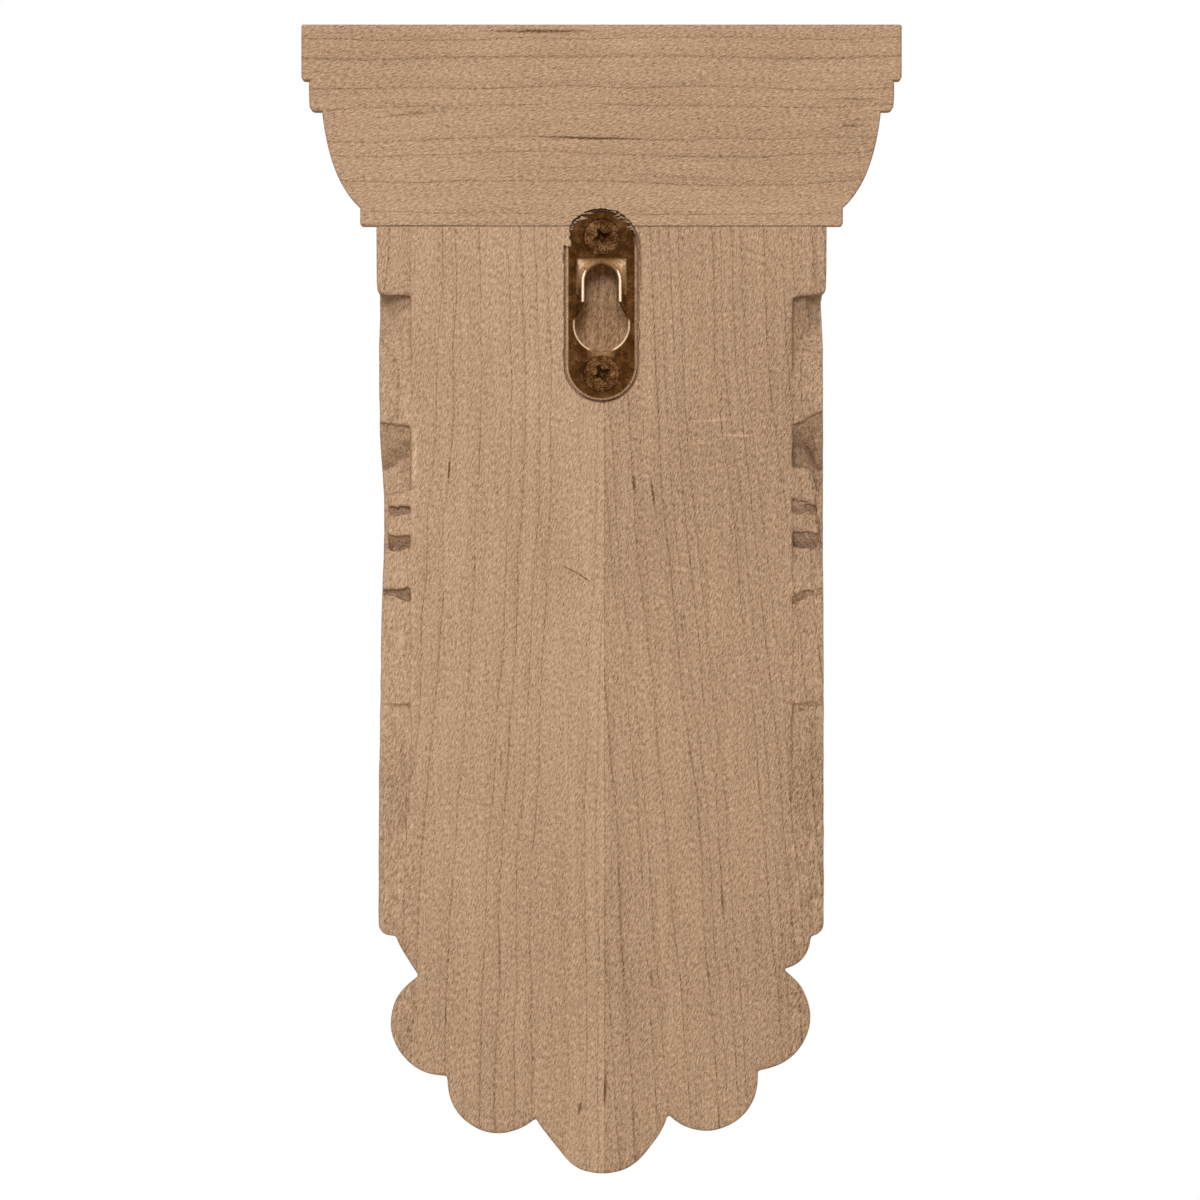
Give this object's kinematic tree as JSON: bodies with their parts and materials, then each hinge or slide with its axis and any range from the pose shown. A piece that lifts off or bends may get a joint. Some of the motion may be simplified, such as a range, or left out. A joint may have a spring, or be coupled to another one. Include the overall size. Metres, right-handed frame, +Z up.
{
  "type": "acanthus corbel",
  "caption": "Hanging wooden corbel: moulded cap on a console body carved with an acanthus leaf and volutes, with a keyhole hanger let into its flat back.",
  "frame": {"origin": "on the flat back that lies against the wall, on the centreline, at half the overall height", "axes": "+Z up, +Y out of the flat back into the wall, so the carved front faces -Y; +X is to the right as the front is looked at"},
  "size_m": [0.1194, 0.0569, 0.2286],
  "materials": {
    "cap_maple": "bare planed maple, grain running across",
    "body_maple": "bare carved maple, grain running up",
    "plate_steel": "antique brown plated steel, pitted, bright at the cut edges",
    "screw_steel": "antique brown plated steel, dull"
  },
  "bodies": {
    "root": {"moulded_cap": "cap_maple", "carved_body": "body_maple", "keyhole_plate": "plate_steel", "upper_screw": "screw_steel", "lower_screw": "screw_steel"}
  },
  "joints": []
}
